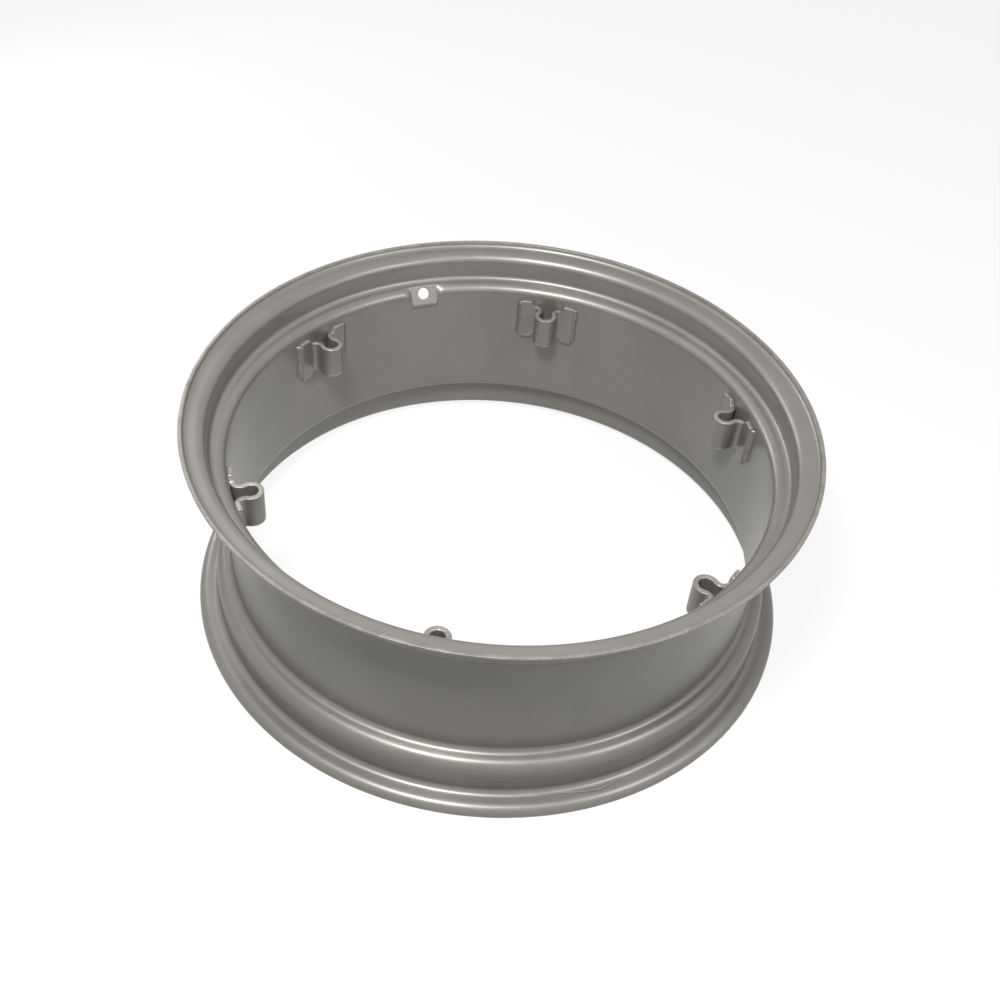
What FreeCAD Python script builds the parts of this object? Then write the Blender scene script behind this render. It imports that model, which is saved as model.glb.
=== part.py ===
import FreeCAD, Part
import math
import os

import Sketcher

# Rear tractor wheel rim, 10 x 28 inch: one rolled and pressed steel ring with six bolt loops welded
# inside its well. The wheel axis is Z, the rim lies flat and the origin is the middle of its width.
# The loops sit nearer to the +Z side. All sizes are in millimetres and degrees.

SIZES = [
    ("bead_diameter", "711.2", "tyre seat, the nominal 28 inch"),
    ("seat_width", "254.0", "between the flanges, the nominal 10 inch"),
    ("flange_height", "25.4", "from the tyre seat out to the rolled edge"),
    ("flange_lip", "12.0", "how far the rolled edge stands outside the flange, its outside radius"),
    ("sheet_thickness", "4.8", "rolled steel of the rim"),
    ("bend_radius", "7.8", "inside of every bend between seat, side walls and well"),
    ("well_depth", "20.8", "from the tyre seat in to the outside of the well"),
    ("upper_wall", "90.7", "height of the upper side wall, tyre side"),
    ("lower_wall", "77.5", "depth of the lower side wall, tyre side"),
    ("valve_azimuth", "113.1", "turn of the valve hole about the axis"),
    ("valve_hole_diameter", "16.0", "for a rubber snap-in valve"),
    ("valve_hole_drop", "10.6", "from the top of the flat pad down to the hole"),
    ("valve_pad_width", "35.0", "flat pad round the valve hole"),
    ("valve_pad_length", "26.2", "flat pad round the valve hole, down its slope"),
    ("valve_pad_tilt", "31.0", "lean of the flat pad"),
    ("valve_pad_inset", "10.5", "from the inside of the well out to the top of the flat pad"),
    ("strap_thickness", "6.35", "quarter inch flat bar of the loops"),
    ("first_loop_azimuth", "22.1", "turn of the first loop about the axis"),
    ("loop_spacing_angle", "60.0", "turn from loop to loop"),
    ("loop_centre_height", "50.0", "middle of the loops above the middle of the rim"),
    ("loop_reach", "38.1", "from the well to the tip of a loop's nose"),
    ("bolt_eye_radius", "9.0", "inside of the nose, for a five eighths bolt"),
    ("waist_gap", "14.2", "narrowest gap between the two sides of a loop"),
    ("flare_radius", "6.5", "bend from each side of a loop into its foot"),
    ("foot_reach", "38.0", "from the middle of a loop to the end of each foot"),
    ("foot_height", "58.8", "of the feet along the wheel axis"),
    ("nose_height", "44.0", "of the nose along the wheel axis"),
    ("ear_start", "18.5", "where the strap starts to widen into its feet"),
    ("ear_end", "23.5", "where the strap has its full width"),
    ("fourth_loop_lift", "5.0", "how much higher the fourth loop was welded on"),
    ("fifth_loop_angle", "-1.0", "how far off its place the fifth loop was welded on"),
    ("weld_leg", "5.4", "both legs of the fillet weld at the end of each foot"),
    ("weld_crown", "0.9", "how far a weld's face stands out of the line between its two edges"),
    ("weld_stop", "2.0", "how far a weld stops short of the foot's two edges"),
]

# Sizes that follow from the ones above. A radius is a distance from the wheel axis.
DERIVED = [
    ("edge_radius", "bead_diameter / 2 + flange_height"),
    ("edge_inside", "edge_radius - sheet_thickness"),
    ("seat_radius", "bead_diameter / 2"),
    ("seat_inside", "seat_radius - sheet_thickness"),
    ("well_outside", "seat_radius - well_depth"),
    ("well_inside", "well_outside - sheet_thickness"),
    ("flange_face", "seat_width / 2"),
    ("flange_back", "flange_face + sheet_thickness"),
    ("lip_height", "flange_face + flange_lip"),
    ("upper_wall_top", "upper_wall + sheet_thickness"),
    ("lower_wall_bottom", "lower_wall + sheet_thickness"),
    ("outer_bend", "bend_radius + sheet_thickness"),
    ("inner_flat", "bend_radius * (2 - sqrt(2))"),
    ("outer_flat", "outer_bend * (2 - sqrt(2))"),
    ("curl_start", "edge_radius - flange_lip"),
    ("curl_middle", "flange_lip * (1 - sqrt(0.5))"),
    ("curl_middle_radius", "edge_radius - curl_middle"),
    ("curl_middle_height", "flange_face + curl_middle"),
    ("hollow_middle", "(flange_lip - sheet_thickness) * (1 - sqrt(0.5))"),
    ("hollow_middle_radius", "edge_inside - hollow_middle"),
    ("hollow_middle_height", "flange_back + hollow_middle"),
    ("pad_top_radius", "well_inside + valve_pad_inset"),
    ("pad_sine", "sin(valve_pad_tilt)"),
    ("pad_cosine", "cos(valve_pad_tilt)"),
    ("pad_bend_offset", "outer_bend - valve_pad_inset"),
    ("pad_bend_along", "outer_bend * pad_cosine - pad_bend_offset * pad_sine"),
    ("pad_bend_down", "outer_bend * pad_sine + pad_bend_offset * pad_cosine"),
    ("dimple_crest", "bend_radius + sheet_thickness / 2 - pad_bend_down"),
    ("dimple_rise", "valve_pad_inset + sheet_thickness * (pad_cosine - 0.5)"),
    ("dimple_foot", "dimple_rise / pad_sine"),
    ("dimple_width", "valve_pad_width + 2 * sheet_thickness"),
    ("relief_width", "valve_pad_width - 2 * sheet_thickness"),
    ("relief_start", "valve_pad_length / 2"),
    ("relief_end", "valve_pad_length - sheet_thickness"),
    ("relief_depth", "2 * sheet_thickness"),
    ("valve_hole_radius", "valve_hole_diameter / 2"),
    ("loop_tip", "well_inside - loop_reach"),
    ("loop_tip_inside", "loop_tip + strap_thickness"),
    ("path_tip", "loop_tip + strap_thickness / 2"),
    ("nose_path_radius", "bolt_eye_radius + strap_thickness / 2"),
    ("flare_path_radius", "flare_radius + strap_thickness / 2"),
    ("foot_path_radius", "well_inside - strap_thickness / 2"),
    ("flare_offset", "waist_gap / 2 + strap_thickness + flare_radius"),
    ("foot_turn", "asin(foot_reach / foot_path_radius) / 1 deg"),
    ("foot_low", "loop_centre_height - foot_height / 2"),
    ("foot_high", "loop_centre_height + foot_height / 2"),
    ("nose_low", "loop_centre_height - nose_height / 2"),
    ("nose_high", "loop_centre_height + nose_height / 2"),
    ("ear_low", "foot_low - strap_thickness"),
    ("ear_high", "foot_high + strap_thickness"),
    ("weld_tip", "well_inside - weld_leg"),
    ("weld_crest", "weld_leg / 2 + weld_crown * sqrt(0.5)"),
    ("weld_crest_radius", "well_inside - weld_crest"),
    ("weld_low", "foot_low + weld_stop"),
    ("weld_high", "foot_high - weld_stop"),
    ("weld_length", "weld_high - weld_low"),
]

doc = FreeCAD.newDocument("tractor_rim")
sheet = doc.addObject("Spreadsheet::Sheet", "Sizes")
for row, (alias, value, note) in enumerate(SIZES, start=1):
    sheet.set("A%d" % row, note)
    sheet.set("B%d" % row, value)
    sheet.setAlias("B%d" % row, alias)
doc.recompute()
for row, (alias, formula) in enumerate(DERIVED, start=len(SIZES) + 1):
    sheet.set("B%d" % row, "=" + formula)
    sheet.setAlias("B%d" % row, alias)
    doc.recompute()


def size(name):
    # The number behind a name in the sheet, turned negative by a leading minus.
    if name.startswith("-"):
        return -size(name[1:])
    return float(sheet.get(name))


def formula_of(name):
    if name.startswith("-"):
        return "-Sizes." + name[1:]
    return "Sizes." + name


def origin_plane(body, role):
    return next(f for f in body.Origin.OriginFeatures if f.Role == role)


def new_body(label, azimuth_formula, lift_formula="0"):
    # A body whose own X axis points away from the wheel axis at the azimuth.
    body = doc.addObject("PartDesign::Body", label)
    body.Label = label
    turn = FreeCAD.Rotation(FreeCAD.Vector(0, 0, 1), 1)
    body.Placement = FreeCAD.Placement(FreeCAD.Vector(0, 0, 0), turn)
    body.setExpression("Placement.Rotation.Angle", "(%s) * 1 deg" % azimuth_formula)
    body.setExpression("Placement.Base.z", "(%s) * 1 mm" % lift_formula)
    return body


def new_sketch(body, name, role):
    sketch = body.newObject("Sketcher::SketchObject", name)
    sketch.AttachmentSupport = [(origin_plane(body, role), "")]
    sketch.MapMode = "FlatFace"
    return sketch


def tie(sketch, *constraint):
    return sketch.addConstraint(Sketcher.Constraint(*constraint))


def bind(sketch, formula, *constraint):
    # Adds a dimension to the sketch and ties it to a formula of the sheet's values.
    index = tie(sketch, *constraint)
    sketch.setExpression("Constraints[%d]" % index, formula)


def bind_radius(sketch, curve, name):
    bind(sketch, formula_of(name), "Radius", curve, size(name))


def straight(sketch, start, end):
    segment = Part.LineSegment(FreeCAD.Vector(*start, 0), FreeCAD.Vector(*end, 0))
    return sketch.addGeometry(segment, False)


def arc(sketch, centre, radius, first, last):
    # Runs counterclockwise from the first angle to the last, both in radians.
    circle = Part.Circle(FreeCAD.Vector(*centre, 0), FreeCAD.Vector(0, 0, 1), radius)
    return sketch.addGeometry(Part.ArcOfCircle(circle, first, last), False)


def opposite(name):
    return name[1:] if name.startswith("-") else "-" + name


def place_point(sketch, curve, end, x_name, y_name):
    # Ties a point's two coordinates to named sizes, a "0" puts the point on the sketch's axis.
    if x_name == "0":
        tie(sketch, "PointOnObject", curve, end, -2)
    elif size(x_name) > 0:
        bind(sketch, formula_of(x_name), "DistanceX", -1, 1, curve, end, size(x_name))
    else:
        back = opposite(x_name)
        bind(sketch, formula_of(back), "DistanceX", curve, end, -1, 1, size(back))
    if y_name == "0":
        tie(sketch, "PointOnObject", curve, end, -1)
    elif size(y_name) > 0:
        bind(sketch, formula_of(y_name), "DistanceY", -1, 1, curve, end, size(y_name))
    else:
        back = opposite(y_name)
        bind(sketch, formula_of(back), "DistanceY", curve, end, -1, 1, size(back))


def outline(sketch, corners):
    # A closed outline of straight lines through corners that are named sizes.
    points = [tuple(0.0 if name == "0" else size(name) for name in corner) for corner in corners]
    lines = [straight(sketch, here, there) for here, there in zip(points, points[1:] + points[:1])]
    for here, there in zip(lines, lines[1:] + lines[:1]):
        tie(sketch, "Coincident", here, 2, there, 1)
    for curve, corner in zip(lines, corners):
        place_point(sketch, curve, 1, *corner)


# The rim's sheet in the radial plane, down its tyre side and up its wheel side, with its edges rolled
# outwards and square corners elsewhere. The well is nearer to the -Z side, so its two side walls
# stand at different heights. A rolled edge is a quarter turn in two flats with corners on its arc.
rim = new_body("rim", "Sizes.valve_azimuth")
section = new_sketch(rim, "rim_section", "XZ_Plane")
outline(section, [
    ("edge_radius", "lip_height"),
    ("curl_middle_radius", "curl_middle_height"),
    ("curl_start", "flange_face"),
    ("seat_radius", "flange_face"),
    ("seat_radius", "upper_wall"),
    ("well_outside", "upper_wall"),
    ("well_outside", "-lower_wall"),
    ("seat_radius", "-lower_wall"),
    ("seat_radius", "-flange_face"),
    ("curl_start", "-flange_face"),
    ("curl_middle_radius", "-curl_middle_height"),
    ("edge_radius", "-lip_height"),
    ("edge_inside", "-lip_height"),
    ("hollow_middle_radius", "-hollow_middle_height"),
    ("curl_start", "-flange_back"),
    ("seat_inside", "-flange_back"),
    ("seat_inside", "-lower_wall_bottom"),
    ("well_inside", "-lower_wall_bottom"),
    ("well_inside", "upper_wall_top"),
    ("seat_inside", "upper_wall_top"),
    ("seat_inside", "flange_back"),
    ("curl_start", "flange_back"),
    ("hollow_middle_radius", "hollow_middle_height"),
    ("edge_inside", "lip_height"),
])
ring = rim.newObject("PartDesign::Revolution", "rim_ring")
ring.Profile = section
ring.ReferenceAxis = (section, ["V_Axis"])
ring.Angle = 360
doc.recompute()


def bend_rings(base, name, flat_name, rings):
    # Turns square ring corners, each found by its radius and its height, into bends. The flat of a
    # bend touches the bend's arc in its middle, so the sheet keeps its thickness there.
    names = []
    for radius, height in rings:
        for index, edge in enumerate(base.Shape.Edges, start=1):
            curve = edge.Curve
            if not isinstance(curve, Part.Circle):
                continue
            if abs(curve.Radius - size(radius)) < 1e-4 and abs(curve.Center.z - size(height)) < 1e-4:
                names.append("Edge%d" % index)
    bends = rim.newObject("PartDesign::Chamfer", name)
    bends.Base = (base, names)
    bends.Size = size(flat_name)
    bends.setExpression("Size", formula_of(flat_name))
    doc.recompute()
    return bends


# Every bend of the sheet: its inside radius on one face and that radius plus the sheet on the other.
inner_bends = bend_rings(ring, "inner_bends", "inner_flat", [
    ("seat_radius", "flange_face"),
    ("well_outside", "upper_wall"),
    ("well_outside", "-lower_wall"),
    ("seat_radius", "-flange_face"),
    ("seat_inside", "upper_wall_top"),
    ("seat_inside", "-lower_wall_bottom"),
])
bend_rings(inner_bends, "outer_bends", "outer_flat", [
    ("seat_radius", "upper_wall"),
    ("seat_radius", "-lower_wall"),
    ("seat_inside", "flange_back"),
    ("seat_inside", "-flange_back"),
    ("well_inside", "upper_wall_top"),
    ("well_inside", "-lower_wall_bottom"),
])


def slope_sketch(name, along=None):
    # A sketch in the radial plane through the valve hole. Its X axis runs down the flat pad from the
    # pad's top edge, or from a point further along, and its Y axis into the sheet.
    sketch = new_sketch(rim, name, "XZ_Plane")
    radius = "Sizes.pad_top_radius"
    height = "Sizes.upper_wall_top"
    if along is not None:
        radius += " - Sizes.%s * Sizes.pad_sine" % along
        height += " - Sizes.%s * Sizes.pad_cosine" % along
    turn = FreeCAD.Rotation(FreeCAD.Vector(0, 0, 1), -90)
    sketch.AttachmentOffset = FreeCAD.Placement(FreeCAD.Vector(0, 0, 0), turn)
    sketch.setExpression("AttachmentOffset.Base.x", radius)
    sketch.setExpression("AttachmentOffset.Base.y", height)
    sketch.setExpression("AttachmentOffset.Rotation.Angle", "-(90 + Sizes.valve_pad_tilt) * 1 deg")
    return sketch


def across(kind, name, sketch, width_name):
    # Adds or takes away a sketch's outline over a width that is centred on the radial plane.
    feature = rim.newObject("PartDesign::" + kind, name)
    feature.Profile = sketch
    feature.SideType = "Symmetric"
    feature.Length = size(width_name)
    feature.setExpression("Length", formula_of(width_name))
    doc.recompute()
    return feature


# The flat pad for the valve is pressed into the bend between the well and the upper side wall. It is
# sunk under the bend, bulges out on the tyre side and stands proud of the well at its lower end.
dimple_sketch = slope_sketch("dimple_section")
outline(dimple_sketch, [
    ("0", "sheet_thickness"),
    ("dimple_foot", "sheet_thickness"),
    ("pad_bend_along", "dimple_crest"),
])
across("Pad", "valve_dimple", dimple_sketch, "dimple_width")

plate_sketch = slope_sketch("plate_section")
outline(plate_sketch, [
    ("0", "0"),
    ("valve_pad_length", "0"),
    ("valve_pad_length", "sheet_thickness"),
    ("0", "sheet_thickness"),
])
across("Pad", "valve_plate", plate_sketch, "valve_pad_width")

recess_sketch = slope_sketch("recess_section")
outline(recess_sketch, [
    ("0", "0"),
    ("valve_pad_length", "0"),
    ("valve_pad_length", "-outer_bend"),
    ("0", "-outer_bend"),
])
across("Pocket", "valve_recess", recess_sketch, "valve_pad_width")

relief_sketch = slope_sketch("relief_section")
outline(relief_sketch, [
    ("relief_start", "sheet_thickness"),
    ("relief_end", "sheet_thickness"),
    ("relief_end", "relief_depth"),
    ("relief_start", "relief_depth"),
])
across("Pocket", "valve_relief", relief_sketch, "relief_width")

hole_sketch = slope_sketch("valve_hole_section", "valve_hole_drop")
outline(hole_sketch, [
    ("0", "-outer_bend"),
    ("valve_hole_radius", "-outer_bend"),
    ("valve_hole_radius", "relief_depth"),
    ("0", "relief_depth"),
])
valve_hole = rim.newObject("PartDesign::Groove", "valve_hole")
valve_hole.Profile = hole_sketch
valve_hole.ReferenceAxis = (hole_sketch, ["V_Axis"])
valve_hole.Angle = 360
doc.recompute()


def nose_and_flare():
    # Centres of a half loop's nose and flare, and the angle at which the straight leaves the nose.
    nose_x = size("path_tip") + size("nose_path_radius")
    flare_y = size("flare_offset")
    flare_x = math.sqrt((size("foot_path_radius") - size("flare_path_radius")) ** 2 - flare_y ** 2)
    apart = math.hypot(flare_x - nose_x, flare_y)
    both = size("nose_path_radius") + size("flare_path_radius")
    leave = math.atan2(flare_y, flare_x - nose_x) + math.acos(both / apart)
    return nose_x, (flare_x, flare_y), leave


def add_loop(label, azimuth_formula, lift_formula):
    # One bar bent into a loop. Half of it is swept from the tip of the nose along the middle of the
    # bar, over a short straight and the flare to the end of the foot, and then mirrored.
    body = new_body(label, azimuth_formula, lift_formula)
    nose_x, flare, leave = nose_and_flare()
    nose_radius = size("nose_path_radius")
    flare_radius = size("flare_path_radius")
    across_line = (math.cos(leave), math.sin(leave))
    flare_end = math.atan2(flare[1], flare[0])
    foot_end = math.radians(size("foot_turn"))

    path = new_sketch(body, label + "_path", "XY_Plane")
    nose = arc(path, (nose_x, 0), nose_radius, leave, math.pi)
    line_start = (nose_x + nose_radius * across_line[0], nose_radius * across_line[1])
    line_end = (flare[0] - flare_radius * across_line[0], flare[1] - flare_radius * across_line[1])
    line = straight(path, line_start, line_end)
    bend = arc(path, flare, flare_radius, leave + math.pi, flare_end + 2 * math.pi)
    foot = arc(path, (0, 0), size("foot_path_radius"), flare_end, foot_end)
    place_point(path, nose, 2, "path_tip", "0")
    tie(path, "PointOnObject", nose, 3, -1)
    tie(path, "Tangent", nose, 1, line, 1)
    tie(path, "Tangent", line, 2, bend, 1)
    tie(path, "Tangent", bend, 2, foot, 1)
    tie(path, "Coincident", foot, 3, -1, 1)
    bind_radius(path, nose, "nose_path_radius")
    bind_radius(path, bend, "flare_path_radius")
    bind_radius(path, foot, "foot_path_radius")
    bind(path, "Sizes.flare_offset", "DistanceY", -1, 1, bend, 3, flare[1])
    bind(path, "Sizes.foot_reach", "DistanceY", -1, 1, foot, 2, size("foot_reach"))

    bar = new_sketch(body, label + "_bar", "XZ_Plane")
    outline(bar, [
        ("loop_tip", "foot_low"),
        ("loop_tip_inside", "foot_low"),
        ("loop_tip_inside", "foot_high"),
        ("loop_tip", "foot_high"),
    ])
    half = body.newObject("PartDesign::AdditivePipe", label + "_half")
    half.Profile = bar
    half.Spine = path
    doc.recompute()
    whole = body.newObject("PartDesign::Mirrored", label + "_whole")
    whole.Originals = [half]
    whole.MirrorPlane = (origin_plane(body, "XZ_Plane"), [""])
    body.Tip = whole
    doc.recompute()

    # The bar is narrower at the nose: both its edges are cut back between the two feet.
    for edge, foot_name, nose_name, clear_name in (
        ("top", "foot_high", "nose_high", "ear_high"),
        ("bottom", "foot_low", "nose_low", "ear_low"),
    ):
        ears = new_sketch(body, "%s_%s_edge" % (label, edge), "YZ_Plane")
        outline(ears, [
            ("-ear_end", foot_name),
            ("-ear_start", nose_name),
            ("ear_start", nose_name),
            ("ear_end", foot_name),
            ("ear_end", clear_name),
            ("-ear_end", clear_name),
        ])
        cut = body.newObject("PartDesign::Pocket", "%s_%s_cut" % (label, edge))
        cut.Profile = ears
        cut.Reversed = True
        cut.Length = size("well_inside")
        cut.setExpression("Length", "Sizes.well_inside")
        doc.recompute()


def add_weld(label, azimuth_formula, lift_formula, flipped):
    # A fillet weld in the corner between the end of a foot and the well. Its own X axis lies on the
    # foot's end and the bead is on the +Y side of it, or on the -Y side where it is flipped over.
    body = new_body(label, azimuth_formula, lift_formula)
    sketch = new_sketch(body, label + "_section", "XY_Plane")
    start_name = "weld_high" if flipped else "weld_low"
    turn = FreeCAD.Rotation(FreeCAD.Vector(1, 0, 0), 180 if flipped else 0)
    sketch.AttachmentOffset = FreeCAD.Placement(FreeCAD.Vector(0, 0, size(start_name)), turn)
    sketch.setExpression("AttachmentOffset.Base.z", formula_of(start_name))
    wall = size("well_inside")
    leg = size("weld_leg")
    wall_end = math.asin(leg / wall)
    toe = (wall * math.cos(wall_end), leg)
    tip = (size("weld_tip"), 0)
    crest = (size("weld_crest_radius"), size("weld_crest"))
    foot_line = straight(sketch, tip, (wall, 0))
    wall_arc = arc(sketch, (0, 0), wall, 0, wall_end)
    face = straight(sketch, toe, crest)
    tip_face = straight(sketch, crest, tip)
    place_point(sketch, foot_line, 1, "weld_tip", "0")
    tie(sketch, "PointOnObject", foot_line, 2, -1)
    tie(sketch, "Coincident", foot_line, 2, wall_arc, 1)
    tie(sketch, "Coincident", wall_arc, 3, -1, 1)
    tie(sketch, "Coincident", wall_arc, 2, face, 1)
    tie(sketch, "Coincident", face, 2, tip_face, 1)
    tie(sketch, "Coincident", tip_face, 2, foot_line, 1)
    bind_radius(sketch, wall_arc, "well_inside")
    bind(sketch, "Sizes.weld_leg", "DistanceY", -1, 1, wall_arc, 2, leg)
    place_point(sketch, face, 2, "weld_crest_radius", "weld_crest")
    bead = body.newObject("PartDesign::Pad", label + "_bead")
    bead.Profile = sketch
    bead.Length = size("weld_length")
    bead.setExpression("Length", "Sizes.weld_length")
    doc.recompute()


LOOP_COUNT = 6
for number in range(1, LOOP_COUNT + 1):
    azimuth = "Sizes.first_loop_azimuth + %d * Sizes.loop_spacing_angle" % (number - 1)
    lift = "0"
    if number == 4:
        lift = "Sizes.fourth_loop_lift"
    if number == 5:
        azimuth += " + Sizes.fifth_loop_angle"
    loop_label = "loop_%d" % number
    add_loop(loop_label, azimuth, lift)
    add_weld(loop_label + "_weld_left", azimuth + " + Sizes.foot_turn", lift, flipped=False)
    add_weld(loop_label + "_weld_right", azimuth + " - Sizes.foot_turn", lift, flipped=True)

doc.recompute()
for feature in doc.Objects:
    if "Invalid" in feature.State or "Error" in feature.State:
        raise ValueError("%s does not recompute: %s" % (feature.Name, feature.State))

os.makedirs("parts", exist_ok=True)
for body in doc.Objects:
    if body.TypeId != "PartDesign::Body":
        continue
    shape = body.Shape
    if shape.isNull() or not shape.isValid() or len(shape.Solids) != 1:
        raise ValueError("%s is not one valid solid" % body.Label)
    shape.exportStep("parts/%s.step" % body.Label)
    print(body.Label, round(shape.Volume), shape.BoundBox)
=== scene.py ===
"""A rear tractor wheel rim, 10 x 28 inch, lying flat: a rolled and pressed steel ring with six bolt
loops welded inside its well, all in silver grey paint. Lengths in the sections are in millimetres."""
import math

import bpy
import numpy as np
from mathutils import Matrix, Vector


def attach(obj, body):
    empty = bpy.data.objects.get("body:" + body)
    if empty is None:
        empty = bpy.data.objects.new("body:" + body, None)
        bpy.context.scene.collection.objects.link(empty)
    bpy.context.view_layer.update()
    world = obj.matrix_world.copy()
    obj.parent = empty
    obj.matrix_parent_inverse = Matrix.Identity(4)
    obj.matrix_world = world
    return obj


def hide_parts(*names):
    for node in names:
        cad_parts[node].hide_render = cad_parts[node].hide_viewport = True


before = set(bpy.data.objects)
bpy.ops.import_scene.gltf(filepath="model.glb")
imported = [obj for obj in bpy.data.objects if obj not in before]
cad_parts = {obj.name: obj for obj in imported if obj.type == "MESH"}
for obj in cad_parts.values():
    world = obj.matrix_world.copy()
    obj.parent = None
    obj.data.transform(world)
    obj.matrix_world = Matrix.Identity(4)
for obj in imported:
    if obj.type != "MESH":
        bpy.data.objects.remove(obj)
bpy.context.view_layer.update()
scene = bpy.context.scene
scene.view_settings.view_transform = "Standard"

# The view: from above at 43 degrees with the camera rolled a little to one side, about a metre and a
# half from the rim, so that its near edge looks wider than its far one. Places here are in metres.
ELEVATION = math.radians(42.912)
ROLL = math.radians(5.633)
DISTANCE, ASIDE, BELOW = 1.55469, 0.003686, -0.005220
SENSOR = 36
FOCAL_SHARE = 1.22492
back = Vector((0, -math.cos(ELEVATION), math.sin(ELEVATION)))
level = Vector((1, 0, 0))
upright = Vector((0, math.sin(ELEVATION), math.cos(ELEVATION)))
camera_x = math.cos(ROLL) * level + math.sin(ROLL) * upright
camera_y = math.cos(ROLL) * upright - math.sin(ROLL) * level
camera_data = bpy.data.cameras.new("view")
camera_data.sensor_width = SENSOR
camera_data.lens = SENSOR * FOCAL_SHARE
camera = bpy.data.objects.new("view", camera_data)
turn = Matrix((camera_x, camera_y, back)).transposed().to_4x4()
camera.matrix_world = Matrix.Translation(back * DISTANCE + level * ASIDE + upright * BELOW) @ turn
scene.collection.objects.link(camera)
scene.camera = camera

# The floor and the backdrop: a pale sheet that runs to the edges of the view, in a dim room. To the
# eye, in gloss and through gaps both are white, the floor with the rim's faint shadow; what they throw
# on the rim is less than that.
LIP_HEIGHT = 139.0
FLOOR_REACH = 40
FLOOR_BELOW = 0.2
FLOOR_MATT, FLOOR_SHADE, FLOOR_GLOW = 0.22, 0.14, 0.88
ROOM_DIM, ROOM_BRIGHT = 0.03, 1.0


class Field:
    """A value of a shader that varies over the surface: arithmetic on it adds Math nodes."""

    def __init__(self, nodes, socket):
        self.nodes = nodes
        self.socket = socket

    def math(self, operation, *others):
        return self.nodes.node("ShaderNodeMath", {"operation": operation}, self, *others)

    def __add__(self, other):
        return self.math("ADD", other)

    def __sub__(self, other):
        return self.math("SUBTRACT", other)

    def __mul__(self, other):
        return self.math("MULTIPLY", other)

    def __neg__(self):
        return self.math("MULTIPLY", -1.0)

    def __radd__(self, other):
        return self + other

    def __rmul__(self, other):
        return self * other

    def __rsub__(self, other):
        return -self + other

    def step(self, low, high):
        """Rises smoothly from 0 at low to 1 at high."""
        settings = {"interpolation_type": "SMOOTHSTEP"}
        limits = {"From Min": low, "From Max": high}
        return self.nodes.node("ShaderNodeMapRange", settings, Value=self, **limits)


class Nodes:
    """The nodes of one material or of the world."""

    def __init__(self, owner):
        owner.use_nodes = True
        self.tree = owner.node_tree
        self.tree.nodes.clear()

    def node(self, kind, settings=None, *values, out=0, **named):
        """Adds a node: first its settings, then its sockets by place, where None leaves one as it is,
        or by name. Gives the output with the number or the name out."""
        made = self.tree.nodes.new(kind)
        for key, value in (settings or {}).items():
            setattr(made, key, value)
        for key, value in list(enumerate(values)) + list(named.items()):
            if isinstance(value, Field):
                self.tree.links.new(value.socket, made.inputs[key])
            elif value is not None:
                made.inputs[key].default_value = value
        return Field(self, made.outputs[out]) if made.outputs else made

    def blend(self, share, low, high):
        """A colour that goes from low to high as share goes from 0 to 1."""
        return self.node("ShaderNodeMix", {"data_type": "RGBA"}, share, *[None] * 5, low, high, out=2)

    def background_seen(self):
        """1 for a ray that shows the background to the eye, in gloss or through a clear piece, else 0."""
        kinds = ("Camera", "Glossy", "Transmission")
        eye, gloss, clear = (self.node("ShaderNodeLightPath", out="Is %s Ray" % kind) for kind in kinds)
        return eye.math("MAXIMUM", gloss).math("MAXIMUM", clear)


def grey(value):
    """A grey colour of a value from 0 to 1."""
    return (value, value, value, 1)


floor_mesh = bpy.data.meshes.new("floor")
corners = [(x * FLOOR_REACH, y * FLOOR_REACH, 0) for x, y in ((-1, -1), (1, -1), (1, 1), (-1, 1))]
floor_mesh.from_pydata(corners, [], [(0, 1, 2, 3)])
floor_mesh.transform(Matrix.Translation((0, 0, -(LIP_HEIGHT + FLOOR_BELOW) / 1000)))
floor = bpy.data.objects.new("floor", floor_mesh)
scene.collection.objects.link(floor)

pale = bpy.data.materials.new("pale_floor")
nodes = Nodes(pale)
matt = nodes.node("ShaderNodeBsdfDiffuse", None, grey(FLOOR_MATT))
glow = nodes.node("ShaderNodeEmission", None, grey(1), FLOOR_GLOW)
shade = nodes.node("ShaderNodeBsdfDiffuse", None, grey(FLOOR_SHADE))
white = nodes.node("ShaderNodeAddShader", None, shade, glow)
shown = nodes.node("ShaderNodeMixShader", None, nodes.background_seen(), matt, white)
nodes.node("ShaderNodeOutputMaterial", None, shown)
floor_mesh.materials.append(pale)

world = bpy.data.worlds.new("room")
scene.world = world
nodes = Nodes(world)
dim = nodes.node("ShaderNodeBackground", None, grey(1), ROOM_DIM)
bright = nodes.node("ShaderNodeBackground", None, grey(1), ROOM_BRIGHT)
shown = nodes.node("ShaderNodeMixShader", None, nodes.background_seen(), dim, bright)
nodes.node("ShaderNodeOutputWorld", None, shown)

# The lights: five soft boxes turned to the middle of the rim, the strongest high in front and a weaker
# one low behind for the far side. Each has a name, a place and a width in metres, and its watts.
LIGHTS = [
    ("front_box", (-0.32, -0.88, 1.77), 0.40, 41.0),
    ("right_box", (1.22, -0.71, 1.41), 0.60, 12.0),
    ("low_box", (1.79, -0.48, 0.75), 0.40, 1.5),
    ("back_box", (-0.60, 0.50, 1.00), 0.40, 1.0),
    ("fill_box", (-1.20, 1.30, 0.60), 0.60, 8.0),
]
for name, place, width, watts in LIGHTS:
    lamp = bpy.data.lights.new(name, "AREA")
    lamp.size = width
    lamp.energy = watts
    box = bpy.data.objects.new(name, lamp)
    box.location = place
    box.rotation_euler = (-Vector(place)).to_track_quat("-Z", "Y").to_euler()
    scene.collection.objects.link(box)

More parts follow.
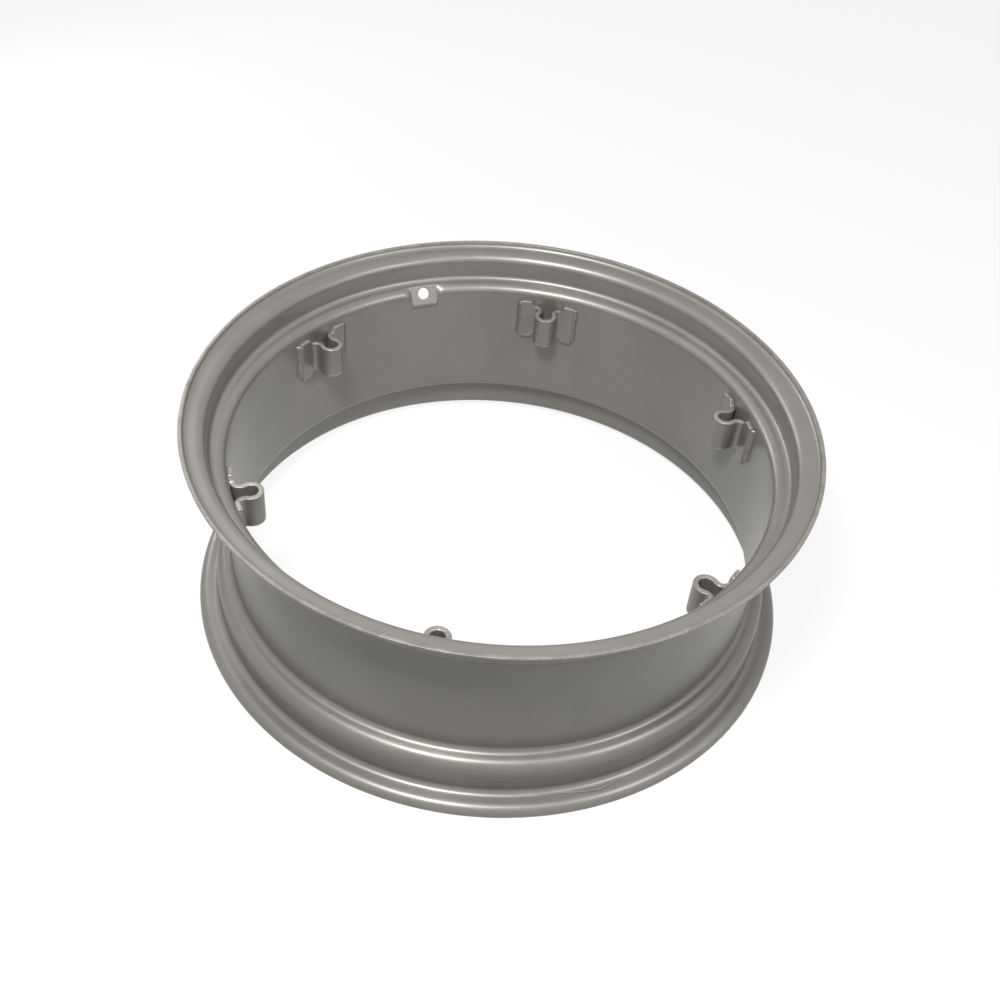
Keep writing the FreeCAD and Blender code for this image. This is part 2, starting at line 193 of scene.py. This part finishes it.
# The rim: one strip of 4.8 mm steel, rolled into a ring, butt welded and pressed to shape between
# rollers, with the valve's flat pressed into the bend between the well and the upper side wall.
SHEET = 4.8
SEAT_RADIUS = 355.6
EDGE_RADIUS = 381.0
WELL_DEPTH = 20.8
FLANGE_FACE = 127.0
UPPER_WALL = 90.7
LOWER_WALL = 77.5
TIGHT_BEND = 7.8
WIDE_BEND = TIGHT_BEND + SHEET
CURL_BEND = 6.9
WELL_RADIUS = SEAT_RADIUS - WELL_DEPTH - SHEET


def bent_line(start, heading, moves, spacing=0.05):
    """The points of a line that starts at a place and heading and makes moves in turn: (length,) goes
    straight on, (radius, angle) follows a circle to the left for a positive angle and to the right for
    a negative one. Gives the length along the line, x, y and the heading as dense arrays."""
    place = np.array(start, float)
    travelled = 0.0
    rows = []
    for move in moves:
        if len(move) == 1:
            length = move[0]
            along = np.linspace(0, length, max(2, int(length / spacing)))
            angle = np.full(along.shape, heading)
            x = place[0] + along * math.cos(heading)
            y = place[1] + along * math.sin(heading)
        else:
            radius, turned = move
            side = math.copysign(1.0, turned)
            length = radius * abs(turned)
            along = np.linspace(0, length, max(8, int(length / spacing)))
            angle = heading + side * along / radius
            x = place[0] + side * radius * (np.sin(angle) - math.sin(heading))
            y = place[1] - side * radius * (np.cos(angle) - math.cos(heading))
        rows.append(np.stack([travelled + along, x, y, angle]))
        travelled += length
        heading = angle[-1]
        place = np.array([x[-1], y[-1]])
    return np.concatenate(rows, axis=1)


QUARTER = math.pi / 2
curl_run = EDGE_RADIUS - SEAT_RADIUS - CURL_BEND - WIDE_BEND
wall_run = WELL_DEPTH - TIGHT_BEND - WIDE_BEND
seat_edge = FLANGE_FACE + SHEET - WIDE_BEND - TIGHT_BEND
lip_run = LIP_HEIGHT - FLANGE_FACE - SHEET - CURL_BEND
well_run = UPPER_WALL + LOWER_WALL + 2 * SHEET - 2 * WIDE_BEND
section_moves = [
    (lip_run,), (CURL_BEND, QUARTER), (curl_run,), (WIDE_BEND, -QUARTER),
    (seat_edge - LOWER_WALL - SHEET,), (TIGHT_BEND, QUARTER), (wall_run,), (WIDE_BEND, -QUARTER),
    (well_run,), (WIDE_BEND, -QUARTER), (wall_run,), (TIGHT_BEND, QUARTER),
    (seat_edge - UPPER_WALL - SHEET,), (WIDE_BEND, -QUARTER), (curl_run,), (CURL_BEND, QUARTER), (lip_run,),
]
LOWER_FLANGE, LOWER_BEND, LOWER_SEAT, WELL, UPPER_BEND = 2, 3, 4, 8, 9
wheel_side = bent_line((EDGE_RADIUS - SHEET, -LIP_HEIGHT), QUARTER, section_moves)
move_runs = [move[0] * (abs(move[1]) if len(move) > 1 else 1) for move in section_moves]
starts = np.concatenate([[0], np.cumsum(move_runs)])
RUN = starts[-1]
well_top = starts[WELL + 1]
bend_top = starts[UPPER_BEND + 1]

# The rollers' ridge beside the lower seat's bend, and the fold at the butt weld. The fold's line goes
# through bearings in degrees and radii, and its share through bearings and shares.
RIDGE_HEIGHT, RIDGE_WIDTH = 0.3, 0.55
RIDGE_BEFORE, RIDGE_REACH = 2.6, 4
HOLLOW_WIDTH, HOLLOW_BESIDE = 0.7, 1.5
ridge_run = starts[LOWER_SEAT + 1] - RIDGE_BEFORE
BUTT_WELD = 290.3
FOLD_LINE = [(282.0, 360.0), (286.7, 361.6), (291.5, 366.4), (293.6, 368.0), (298.8, 362.8), (301.0, 360.5)]
FOLD_SHARE = [(282.0, 0.0), (286.7, 0.5), (293.6, 1.0), (298.8, 0.4), (301.0, 0.0)]
FOLD_RISE, RISE_WIDTH, RISE_STARTS = 0.5, 3.5, (-0.4, 0.6)
GROOVE_DEPTH, GROOVE_WIDTH = 0.6, 0.6
FOLD_FADES_BEFORE = (20, 10)
fold_fades = [ridge_run - before for before in FOLD_FADES_BEFORE]
MARKED_DEPTHS = (0.7 * SHEET, 0.95 * SHEET)

# The valve's flat: a plane pressed into the bend, which leans from the side wall down to the well and
# stands a little proud of it at its foot. Its flanks and its two ends run softly into the sheet.
PAD_AZIMUTH = math.radians(113.1)
PAD_TILT = math.radians(31.0)
PAD_TOP = (WELL_RADIUS + 10.5, UPPER_WALL + SHEET)
PAD_LENGTH = 26.2
PAD_HALF = 17.5
FLANK_AT_HEAD, FLANK_AT_FOOT = 16.0, 3.0
HEAD_FADES = (-2.5, 0.5)
FOOT_FADES = (-1.0, 8.0)
HOLE_DROP = 10.6
HOLE_RADIUS = 8.0
pad_down = (-math.sin(PAD_TILT), -math.cos(PAD_TILT))
pad_out = (-math.cos(PAD_TILT), math.sin(PAD_TILT))
pad_head = bend_top - WIDE_BEND * math.asin((WELL_RADIUS + WIDE_BEND - PAD_TOP[0]) / WIDE_BEND)
pad_foot = well_top + WIDE_BEND + PAD_LENGTH * pad_down[1]
pad_scale = PAD_LENGTH / (pad_head - pad_foot)
hole_run = pad_head - HOLE_DROP / pad_scale


def smooth(value, low, high):
    """Rises from 0 at low to 1 at high, level at both ends."""
    share = np.clip((value - low) / (high - low), 0, 1)
    return share * share * (3 - 2 * share)


def seam_fold(bearing, radius):
    """The fold in the lower flange at the butt weld, at bearings in degrees: the distance outwards from
    its line, which runs outwards and back again, and how strong it is there, from 0 to 1."""
    line = np.interp(bearing, *np.transpose(FOLD_LINE))
    return radius - line, np.interp(bearing, *np.transpose(FOLD_SHARE))


def tyre_side_marks(bearing, run, radius):
    """How far the tyre side stands out in two places: a fine ridge that the rollers left round the
    lower seat, with a hollow beside it, and the seam's fold, a groove with the metal inside it pushed
    up. Each is a bell curve of the distance from its line."""
    off = run - ridge_run
    ridge = np.exp(-(off / RIDGE_WIDTH) ** 2) - np.exp(-((off + HOLLOW_BESIDE) / HOLLOW_WIDTH) ** 2)
    off, share = seam_fold(bearing, radius)
    risen = FOLD_RISE * np.exp(-(off / RISE_WIDTH) ** 2) * smooth(-off, *RISE_STARTS)
    groove = GROOVE_DEPTH * np.exp(-(off / GROOVE_WIDTH) ** 2)
    return RIDGE_HEIGHT * ridge + share * (1 - smooth(run, *fold_fades)) * (risen - groove)


def sheet_point(aside, run, depth):
    """A point of the rim's sheet: aside is the distance along the circle from the valve hole, run the
    distance along the wheel side's line from the lower edge, and depth the distance into the sheet.
    The line is turned about the axis. Near the valve it gives way to the flat pad's plane, and outside
    the pad's side edges it comes back over a width that grows from the pad's foot to its head, where
    what is left of the dent falls with the square of the way to go."""
    radius = np.interp(run, wheel_side[0], wheel_side[1])
    height = np.interp(run, wheel_side[0], wheel_side[2])
    heading = np.interp(run, wheel_side[0], wheel_side[3])
    normal_r, normal_z = -np.sin(heading), np.cos(heading)
    along = (pad_head - run) * pad_scale
    width = np.interp(along, [0, PAD_LENGTH], [FLANK_AT_HEAD, FLANK_AT_FOOT])
    pad = np.clip(1 - (np.abs(aside) - PAD_HALF) / width, 0, 1) ** 2
    pad = pad * smooth(along, *HEAD_FADES) * (1 - smooth(along - PAD_LENGTH, *FOOT_FADES))
    pad_r = PAD_TOP[0] + along * pad_down[0]
    pad_z = PAD_TOP[1] + along * pad_down[1]
    radius = radius + pad * (pad_r - radius)
    height = height + pad * (pad_z - height)
    normal_r = normal_r + pad * (pad_out[0] - normal_r)
    normal_z = normal_z + pad * (pad_out[1] - normal_z)
    size = np.hypot(normal_r, normal_z)
    azimuth = PAD_AZIMUTH + aside / WELL_RADIUS
    marks = tyre_side_marks(np.degrees(azimuth) % 360, run, radius - depth * normal_r / size)
    depth = depth + marks * smooth(depth, *MARKED_DEPTHS)
    radius = radius - depth * normal_r / size
    height = height - depth * normal_z / size
    return np.stack([radius * np.cos(azimuth), radius * np.sin(azimuth), height], axis=-1) / 1000


def spread(parts):
    """Joins runs of evenly spaced values: each part is (from, to, spacing)."""
    joined = [np.linspace(a, b, max(1, round(abs(b - a) / step)), endpoint=False) for a, b, step in parts]
    return np.concatenate(joined)


# The ring's grid is fine where the sheet is pressed or marked and coarse elsewhere. These are its steps
# along the section's line and about the axis, and the distances at which they change.
half_round = math.pi * WELL_RADIUS
STRAIGHT_STEP, BEND_STEP, ROUND_STEP = 10.0, 1.7, 12.0
PAD_STEP, BESIDE_STEP, NEAR_STEP = 0.9, 1.1, 2.2
BESIDE_PAD, NEAR_PAD, UNDER_PAD = 34, 42, 11
FOLD_STEP, FOLD_FROM, FOLD_TO = 2.0, 970, -980
RIDGE_STEP = 0.4
FINE_MOVES = {LOWER_FLANGE: 0.45, LOWER_BEND: 0.65, UPPER_BEND: PAD_STEP}
aside_steps = spread([
    (-half_round, FOLD_TO, FOLD_STEP), (FOLD_TO, -NEAR_PAD, ROUND_STEP),
    (-NEAR_PAD, -BESIDE_PAD, NEAR_STEP), (-BESIDE_PAD, -PAD_HALF, BESIDE_STEP),
    (-PAD_HALF, PAD_HALF, PAD_STEP),
    (PAD_HALF, BESIDE_PAD, BESIDE_STEP), (BESIDE_PAD, NEAR_PAD, NEAR_STEP),
    (NEAR_PAD, FOLD_FROM, ROUND_STEP), (FOLD_FROM, half_round, FOLD_STEP),
])
run_parts = []
for number, (first, last) in enumerate(zip(starts[:-1], starts[1:])):
    gap = STRAIGHT_STEP if len(section_moves[number]) == 1 else BEND_STEP
    if number == LOWER_SEAT:
        run_parts += [(first, ridge_run - RIDGE_REACH, gap), (ridge_run - RIDGE_REACH, last, RIDGE_STEP)]
    elif number == WELL:
        run_parts += [(first, pad_foot - UNDER_PAD, gap), (pad_foot - UNDER_PAD, last, PAD_STEP)]
    else:
        run_parts.append((first, last, FINE_MOVES.get(number, gap)))
run_steps = spread(run_parts)

# EDGE_ROUND holds the places that round a cut edge, as distances from its corner along the sheet and
# into it. HOLE_STEPS holds the rings about the hole: the share of the way from the block's edge to the
# hole's circle, and how deep the hole's rounded edge lies there.
EDGE_ROUND = np.array([[0.5, 0.0], [0.15, 0.15], [0.0, 0.5]])
EDGE_CLEAR = 0.6
HOLE_MARGIN = 3.0
HOLE_STEPS = [(0.3, 0.0), (0.6, 0.0), (0.88, 0.0), (0.97, 0.1), (1.0, 0.5)]


def ring_rows():
    """The rows of the ring's grid: up the wheel side and down the tyre side, with both cut edges
    slightly rounded. The wheel side has a third of the tyre side's steps where that one bears the fold
    and the ridge. Gives each row's run and depth, the steps, and each step's row on the two sides."""
    steps = run_steps[(run_steps > EDGE_CLEAR) & (run_steps < RUN - EDGE_CLEAR)]
    marked = (steps > starts[LOWER_FLANGE]) & (steps < starts[LOWER_SEAT + 1])
    plain = ~marked | (np.cumsum(marked) % 3 == 0)
    (in_run, in_depth), (out_run, out_depth) = EDGE_ROUND[::-1].T, EDGE_ROUND.T
    runs = [in_run, steps[plain], RUN - out_run, RUN - in_run, steps[::-1], out_run]
    depths = [in_depth, 0 * steps[plain], out_depth, SHEET - in_depth, SHEET + 0 * steps, SHEET - out_depth]
    runs, depths = np.concatenate(runs), np.concatenate(depths)
    wheel_row = np.cumsum(plain) - 1 + len(EDGE_ROUND)
    tyre_row = len(runs) - len(EDGE_ROUND) - 1 - np.arange(len(steps))
    return runs, depths, steps, wheel_row, tyre_row


def hole_rings(aside, run, wheel, tyre, base):
    """Fills a block about the valve hole: rings of points that go from the block's edge to the hole's
    circle on both sides of the sheet, with strips of faces between them and through the hole. The
    block's edge is given by its places and by its points' numbers; new points count on from base."""
    bearing = np.arctan2((run - hole_run) * pad_scale, aside)
    circle_aside = HOLE_RADIUS * np.cos(bearing)
    circle_run = hole_run + HOLE_RADIUS * np.sin(bearing) / pad_scale
    points, faces = [], []
    wheel_rings, tyre_rings = [wheel], [tyre]
    for share, sink in HOLE_STEPS:
        ring_aside = aside * (1 - share) + circle_aside * share
        ring_run = run * (1 - share) + circle_run * share
        for rings, depth in ((wheel_rings, sink), (tyre_rings, SHEET - sink)):
            points.append(sheet_point(ring_aside, ring_run, depth))
            rings.append(base + np.arange(len(aside)))
            base += len(aside)
    through = [wheel_rings[-1], tyre_rings[-1]]
    for rings, outward in ((wheel_rings, False), (tyre_rings, True), (through, False)):
        for outer, inner in zip(rings[:-1], rings[1:]):
            strip = np.stack([outer, np.roll(outer, -1), np.roll(inner, -1), inner], axis=-1)
            faces.append(strip if outward else strip[:, ::-1])
    return points, faces


def ring_of_sheet():
    """The whole ring as a closed grid, with rows round the section and columns round the axis. A block
    of cells about the valve hole is left out on both sides and filled by rings."""
    runs, depths, steps, wheel_row, tyre_row = ring_rows()
    around, rows = len(aside_steps), len(runs)
    grid = sheet_point(aside_steps[None, :], runs[:, None], depths[:, None])
    index = np.arange(rows * around).reshape(rows, around)
    over, along = np.roll(index, -1, 0), np.roll(index, -1, 1)
    quads = np.stack([index, over, np.roll(over, -1, 1), along], axis=-1)

    block = HOLE_RADIUS + HOLE_MARGIN
    c0, c1 = np.flatnonzero(np.abs(aside_steps) <= block)[[0, -1]]
    r0, r1 = np.flatnonzero(np.abs(steps - hole_run) * pad_scale <= block)[[0, -1]]
    keep = np.ones((rows, around), bool)
    keep[wheel_row[r0]:wheel_row[r1], c0:c1] = False
    keep[tyre_row[r1]:tyre_row[r0], c0:c1] = False
    side_c, side_r = np.arange(c0, c1), np.arange(r0, r1)
    loop_c = np.concatenate([side_c, 0 * side_r + c1, side_c[::-1] + 1, 0 * side_r + c0])
    loop_r = np.concatenate([0 * side_c + r0, side_r, 0 * side_c + r1, side_r[::-1] + 1])
    wheel, tyre = index[wheel_row[loop_r], loop_c], index[tyre_row[loop_r], loop_c]
    points, faces = hole_rings(aside_steps[loop_c], steps[loop_r], wheel, tyre, rows * around)
    return np.concatenate([grid.reshape(-1, 3)] + points), [np.concatenate([quads[keep]] + faces)]


def add_piece(name, points, faces, material, **shares):
    """A mesh object at the origin with smooth faces, from points and blocks of equal-sided faces, with
    an attribute of the points for each named share."""
    mesh = bpy.data.meshes.new(name)
    corners = [corner for block in faces for corner in block.tolist()]
    mesh.from_pydata(points.tolist(), [], corners)
    mesh.polygons.foreach_set("use_smooth", np.ones(len(corners), bool))
    for label, values in shares.items():
        mesh.attributes.new(label, "FLOAT", "POINT").data.foreach_set("value", values.astype(np.float32))
    mesh.materials.append(material)
    mesh.update()
    piece = bpy.data.objects.new(name, mesh)
    scene.collection.objects.link(piece)
    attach(piece, "root")
    return piece


DULL_SILVER = (0.194, 0.184, 0.170, 1)
BRIGHT_SILVER = (0.262, 0.250, 0.231, 1)
RUBBED_STEEL = (0.42, 0.405, 0.38, 1)
PRIMER = (0.62, 0.60, 0.56, 1)
# The dark of the nicks, also used for the painted shade along the fold's groove.
NICK_AND_SHADE_DARK = (0.085, 0.078, 0.070, 1)
ROUGHNESS, METALLIC = 0.29, 0.42
COAT, COAT_ROUGHNESS, REFLECTED = 0.16, 0.18, 0.25
PEEL_HEIGHT, WAVE_HEIGHT, GROUND_HEIGHT = 0.018, 0.24, 0.05
CHIP_DEPTH, NICK_DEPTH = 0.12, 0.4
SPOT_RAGGED, SPOT_CORE = 1.6, 0.7

# Each noise of the paint has a scale, in waves to the metre, and a detail. The shares that follow say
# how much of each goes into the coat's thickness, into where it rubs off and into its roughness.
CLOUDS, PATCHES, FLECKS = (8.0, 4.0), (45.0, 4.0), (260.0, 3.0)
FLAKE, WAVES, LUMP_DETAIL = (1500.0, 1.0), (12.0, 2.0), 2.0
THICK_CLOUDS, THICK_PATCHES, THICK_FLAKE, THINNED = 1.1, 0.4, 0.45, 0.47
RUBBED_PATCHES, RUBBED_FLECKS, RUBBED_LIMITS = 0.6, 0.4, (0.40, 0.62)
ROUGH_PATCHES, ROUGH_FLAKE, ROUGH_GROUND = 0.14, 0.06, 0.04
RUBBED_METALLIC = 0.4


def silver_paint(name, lump_size, lump_height, chips=(), nicks=()):
    """Sprayed silver paint, warm grey and half glossy: slow clouds of thinner and thicker coat, fine
    metal flake, orange peel about 4 mm across and lumps of a given size and height in millimetres.
    Where the attribute worn is high it is rubbed towards bare steel, where ground is high it lies over a
    coarser surface, and where soiled is high the colour is painted dark as shade. Chips down to the primer
    and dark nicks are (x, y, z, size) in metres. Heights are in millimetres too."""
    material = bpy.data.materials.new(name)
    nodes = Nodes(material)
    place = nodes.node("ShaderNodeTexCoord", out="Object")

    def noise(per_metre, detail):
        return nodes.node("ShaderNodeTexNoise", None, Vector=place, Scale=per_metre, Detail=detail)

    def share_of(attribute):
        return nodes.node("ShaderNodeAttribute", {"attribute_name": attribute}, out="Fac")

    def spots(places):
        found = None
        for *middle, size in places:
            away = nodes.node("ShaderNodeVectorMath", {"operation": "DISTANCE"}, place, middle, out="Value")
            ragged = (flecks - 0.5) * (SPOT_RAGGED * size)
            spot = 1 - (away + ragged).step(SPOT_CORE * size, size)
            found = spot if found is None else found.math("MAXIMUM", spot)
        return found

    clouds, patches, flecks = noise(*CLOUDS), noise(*PATCHES), noise(*FLECKS)
    flake, waves = noise(*FLAKE), noise(*WAVES)
    lumps = noise(1000.0 / lump_size, LUMP_DETAIL)
    worn, ground, soiled = share_of("worn"), share_of("ground"), share_of("soiled")
    thick = clouds * THICK_CLOUDS + patches * THICK_PATCHES + flake * THICK_FLAKE - THINNED
    rubbed = worn * (patches * RUBBED_PATCHES + flecks * RUBBED_FLECKS).step(*RUBBED_LIMITS)
    colour = nodes.blend(rubbed, nodes.blend(thick, DULL_SILVER, BRIGHT_SILVER), RUBBED_STEEL)
    # Painted shade: the colour goes dark along the fold's groove, standing in for the shade there.
    colour = nodes.blend(soiled, colour, NICK_AND_SHADE_DARK)
    height = flecks * PEEL_HEIGHT + waves * WAVE_HEIGHT + lumps * lump_height
    height = height + ground * flecks * GROUND_HEIGHT
    if chips:
        chipped = spots(chips)
        colour = nodes.blend(chipped, colour, PRIMER)
        height = height - chipped * CHIP_DEPTH
    if nicks:
        nicked = spots(nicks)
        colour = nodes.blend(nicked, colour, NICK_AND_SHADE_DARK)
        height = height - nicked * NICK_DEPTH
    shader = nodes.node("ShaderNodeBsdfPrincipled", None, **{
        "Base Color": colour,
        "Roughness": ROUGHNESS + patches * ROUGH_PATCHES + flake * ROUGH_FLAKE + ground * ROUGH_GROUND,
        "Metallic": METALLIC + rubbed * RUBBED_METALLIC,
        "Specular IOR Level": REFLECTED,
        "Coat Weight": COAT,
        "Coat Roughness": COAT_ROUGHNESS,
        "Normal": nodes.node("ShaderNodeBump", None, Strength=1.0, Distance=0.001, Height=height),
    })
    nodes.node("ShaderNodeOutputMaterial", None, shader)
    return material


# On the ring: chips and nicks, wear towards the cut edges by height, the ground band about the butt weld by
# degrees, and painted shade: a dark band along the fold's groove.
RIM_CHIPS = [
    (-0.3762, -0.0625, 0.136, 0.0021), (-0.3375, -0.1765, 0.136, 0.0017), (-0.1200, 0.3616, 0.1385, 0.0016),
]
RIM_NICKS = [
    (0.1381, -0.3517, -0.127, 0.0013), (0.1580, -0.3432, -0.127, 0.0010), (-0.1851, 0.2980, 0.1316, 0.0012),
    (0.2467, 0.2494, 0.1347, 0.0011), (0.3172, 0.1499, 0.1305, 0.0012),
]
EDGE_WEAR, WORN_FROM, WORN_FULL = 0.35, 137.2, 138.6
GROUND_FULL, GROUND_END = 1.0, 2.0
# The painted shade along the fold's groove: its width, and the height and span it is kept to, in
# millimetres.
PAINTED_SHADE_WIDTH, FOLD_HEIGHT, FOLD_SPAN = 0.75, -122.0, 7.0
rim_paint = silver_paint("rim_paint", lump_size=30.0, lump_height=0.05, chips=RIM_CHIPS, nicks=RIM_NICKS)
ring_points, ring_faces = ring_of_sheet()
ring_x, ring_y, ring_z = 1000 * ring_points.T
ring_bearing = np.degrees(np.arctan2(ring_y, ring_x)) % 360
ring_worn = EDGE_WEAR * smooth(np.abs(ring_z), WORN_FROM, WORN_FULL)
ring_ground = 1 - smooth(np.abs(ring_bearing - BUTT_WELD), GROUND_FULL, GROUND_END)
fold_off, fold_share = seam_fold(ring_bearing, np.hypot(ring_x, ring_y))
# Painted shade: a dark band along the fold's groove, where shade falls.
ring_soiled = fold_share * np.exp(-(fold_off / PAINTED_SHADE_WIDTH) ** 2) * (np.abs(ring_z - FOLD_HEIGHT) < FOLD_SPAN)
ring = add_piece(
    "rim_ring", ring_points, ring_faces, rim_paint, worn=ring_worn, ground=ring_ground, soiled=ring_soiled)
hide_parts("rim")

# The six bolt loops: quarter inch flat bar bent into a nose, two flares and two feet that lie on the
# well, where a weld at each end holds them. The bar widens towards its feet, and its edges are rounded.
# LOOPS gives each loop's azimuth in degrees and how much higher than the rest it sits.
STRAP = 6.35
LOOP_REACH = 38.1
EYE_RADIUS = 9.0
WAIST_GAP = 14.2
FLARE_BEND = 6.5
FOOT_REACH = 38.0
NOSE_HALF = 22.0
FOOT_HALF = 29.4
EAR_START, EAR_END = 18.5, 23.5
LOOP_HEIGHT = 50.0
BAR_ROUND = 1.0
END_ROUND = 0.3 * BAR_ROUND
LOOP_STEPS = 72
LOOP_WEAR = 0.7
LOOPS = [(22.1, 0.0), (82.1, 0.0), (142.1, 0.0), (202.1, 5.0), (261.1, 0.0), (322.1, 0.0)]

nose_bend = EYE_RADIUS + STRAP / 2
flare_bend = FLARE_BEND + STRAP / 2
foot_bend = WELL_RADIUS - STRAP / 2
nose_centre = WELL_RADIUS - LOOP_REACH + STRAP / 2 + nose_bend
flare_aside = WAIST_GAP / 2 + STRAP + FLARE_BEND
flare_out = math.sqrt((foot_bend - flare_bend) ** 2 - flare_aside ** 2)
apart = math.hypot(flare_out - nose_centre, flare_aside)
leave = math.atan2(flare_aside, flare_out - nose_centre) + math.acos((nose_bend + flare_bend) / apart)
flare_end = math.atan2(flare_aside, flare_out)
foot_turn = math.asin(FOOT_REACH / foot_bend)
half_loop = bent_line((nose_centre - nose_bend, 0), QUARTER, [
    (nose_bend, leave - math.pi), (math.sqrt(apart ** 2 - (nose_bend + flare_bend) ** 2),),
    (flare_bend, math.pi + flare_end - leave), (foot_bend, foot_turn - flare_end),
])


def turned(x, y, z, azimuth):
    """Points in metres from local x, y, z turned about the wheel axis by an azimuth in degrees."""
    angle = math.radians(azimuth)
    across = x * math.cos(angle) - y * math.sin(angle)
    return np.stack([across, x * math.sin(angle) + y * math.cos(angle), z + 0 * x], axis=-1) / 1000


def closed_skin(rows):
    """A skin through rings of points, given as rows x around x 3, with a fan of triangles on each end.
    Faces look outwards where each ring runs counterclockwise seen against the rows' direction."""
    count, around = rows.shape[:2]
    index = np.arange(count * around).reshape(count, around)
    beside = np.roll(index, -1, 1)
    walls = np.stack([index[:-1], beside[:-1], beside[1:], index[1:]], axis=-1).reshape(-1, 4)
    middles = np.stack([rows[0].mean(0), rows[-1].mean(0)])
    first = np.stack([beside[0], index[0], 0 * index[0] + count * around], axis=-1)
    last = np.stack([index[-1], beside[-1], 0 * index[0] + count * around + 1], axis=-1)
    return np.concatenate([rows.reshape(-1, 3), middles]), [walls, first, last]


def bar_section(corner_steps=3, side_steps=12):
    """The bar's outline: across the thickness, and along the width as a share of the straight side and
    a part of the corner's round. Runs from the outside of the nose's upper edge round the bar."""
    turn = np.linspace(0, QUARTER, corner_steps + 1)
    flat = STRAP / 2 - BAR_ROUND
    straight = np.linspace(-1, 1, side_steps + 2)[1:-1]
    thick, share, corner = [], [], []
    for quarter, (side, end) in enumerate([(1, 1), (-1, 1), (-1, -1), (1, -1)]):
        angle = quarter * QUARTER + turn
        thick.append(side * flat + BAR_ROUND * np.cos(angle))
        share.append(0 * turn + end)
        corner.append(BAR_ROUND * np.sin(angle))
        if side * end < 0:
            thick.append(0 * straight + side * STRAP / 2)
            share.append(straight * side)
            corner.append(0 * straight)
    return np.concatenate(thick), np.concatenate(share), np.concatenate(corner)


def strap_loop(azimuth, lift):
    """Sweeps the bar's outline along the half path and its mirror image. The half width rises from
    NOSE_HALF to FOOT_HALF between EAR_START and EAR_END from the loop's middle plane."""
    length = half_loop[0, -1]
    ends = length - np.array([BAR_ROUND, END_ROUND, 0.0])
    along = np.concatenate([np.linspace(0, ends[0], LOOP_STEPS)[:-1], ends])
    inset = np.concatenate([np.zeros(len(along) - 2), [END_ROUND, BAR_ROUND]])
    along = np.concatenate([-along[:0:-1], along])[:, None]
    inset = np.concatenate([inset[:0:-1], inset])[:, None]
    side = np.where(along < 0, -1.0, 1.0)
    x, y, heading = (np.interp(np.abs(along), half_loop[0], half_loop[k]) for k in (1, 2, 3))
    thick, share, corner = bar_section()
    thick = thick * (1 - inset / (STRAP / 2))
    x = x - thick * np.sin(heading)
    y = side * (y + thick * np.cos(heading))
    widening = np.clip((np.abs(y) - EAR_START) / (EAR_END - EAR_START), 0, 1)
    half = NOSE_HALF + (FOOT_HALF - NOSE_HALF) * widening - BAR_ROUND - inset
    worn = np.append((0 * along + (corner != 0)).ravel(), [0.0, 0.0])
    return *closed_skin(turned(x, y, LOOP_HEIGHT + lift + share * half + corner, azimuth)), worn


loop_paint = silver_paint("loop_paint", lump_size=7.0, lump_height=0.035)
for number, (azimuth, lift) in enumerate(LOOPS, start=1):
    points, faces, worn = strap_loop(azimuth, lift)
    loop = add_piece("loop_%d_strap" % number, points, faces, loop_paint, worn=LOOP_WEAR * worn)
    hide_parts("loop_%d" % number)

# The welds: a bead down each end of every loop, laid in ripples about 3 mm apart, uneven in width and
# rounded off at both ends. Their edges sink a little into the foot and the well.
WELD_LEG = 5.4
WELD_HALF = 27.4
WELD_SINK = 0.4
WELD_END = 3.0
FULLNESS = 0.42
RIPPLE, RIPPLE_BOW, RIPPLE_HEIGHT = 2.9, 0.35, 0.28
LONG_SWELL, LONG_RUN = 0.07, 6.1
SHORT_SWELL, SHORT_RUN = 0.05, 2.7
UNEVEN, UNEVEN_ALONG, UNEVEN_ABOUT = 0.12, 1.7, 5
EVEN_PART, EVEN_STEPS, ANGLE_STEPS = 0.92, 120, 11
NEAR_END = np.array([0.955, 0.98, 0.995, 1])


def weld_bead(azimuth, lift, side, seed):
    """Rings about the corner between a foot's end and the well: at the angle t from the foot to the
    well the reach is leg (cos t + sin t) ** -FULLNESS times two slow swells, plus ripples that bow and
    a small unevenness, both greatest halfway, and it falls to nothing in a quarter circle at the ends."""
    random = np.random.default_rng(seed)
    phase = random.uniform(0, 2 * math.pi, 4)
    even = np.linspace(-EVEN_PART, EVEN_PART, EVEN_STEPS)
    height = (np.concatenate([-NEAR_END[::-1], even, NEAR_END]) * WELD_HALF)[:, None]
    angle = np.linspace(0, QUARTER, ANGLE_STEPS)[None, :]
    swell = 1 + LONG_SWELL * np.sin(height / LONG_RUN + phase[0])
    swell = swell + SHORT_SWELL * np.sin(height / SHORT_RUN + phase[1])
    bow = 2 * math.pi * (height / RIPPLE + RIPPLE_BOW * np.sin(angle * 2)) + phase[2]
    uneven = UNEVEN * np.sin(height * UNEVEN_ALONG + UNEVEN_ABOUT * angle + phase[3])
    reach = WELD_LEG * (np.cos(angle) + np.sin(angle)) ** -FULLNESS * swell
    reach = reach + (RIPPLE_HEIGHT * np.cos(bow) + uneven) * np.sin(2 * angle)
    left = np.clip((WELD_HALF - np.abs(height)) / WELD_END, 0, 1)
    reach = reach * np.sqrt(left * (2 - left)) + WELD_SINK
    x = WELL_RADIUS + WELD_SINK - reach * np.cos(angle)
    y = reach * np.sin(angle) - WELD_SINK
    x = np.concatenate([x, 0 * height + WELL_RADIUS + WELD_SINK], axis=1)
    y = np.concatenate([y, 0 * height - WELD_SINK], axis=1)
    points, faces = closed_skin(turned(x, side * y, LOOP_HEIGHT + lift + height, azimuth))
    return points, [block[:, ::-1] for block in faces] if side > 0 else faces


weld_paint = silver_paint("weld_paint", lump_size=1.6, lump_height=0.09)
for number, (azimuth, lift) in enumerate(LOOPS, start=1):
    for name, side in (("left", 1), ("right", -1)):
        label = "loop_%d_weld_%s" % (number, name)
        foot_end = azimuth + side * math.degrees(foot_turn)
        points, faces = weld_bead(foot_end, lift, side, 2 * number + (side > 0))
        bead = add_piece(label + "_bead", points, faces, weld_paint)
        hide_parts(label)
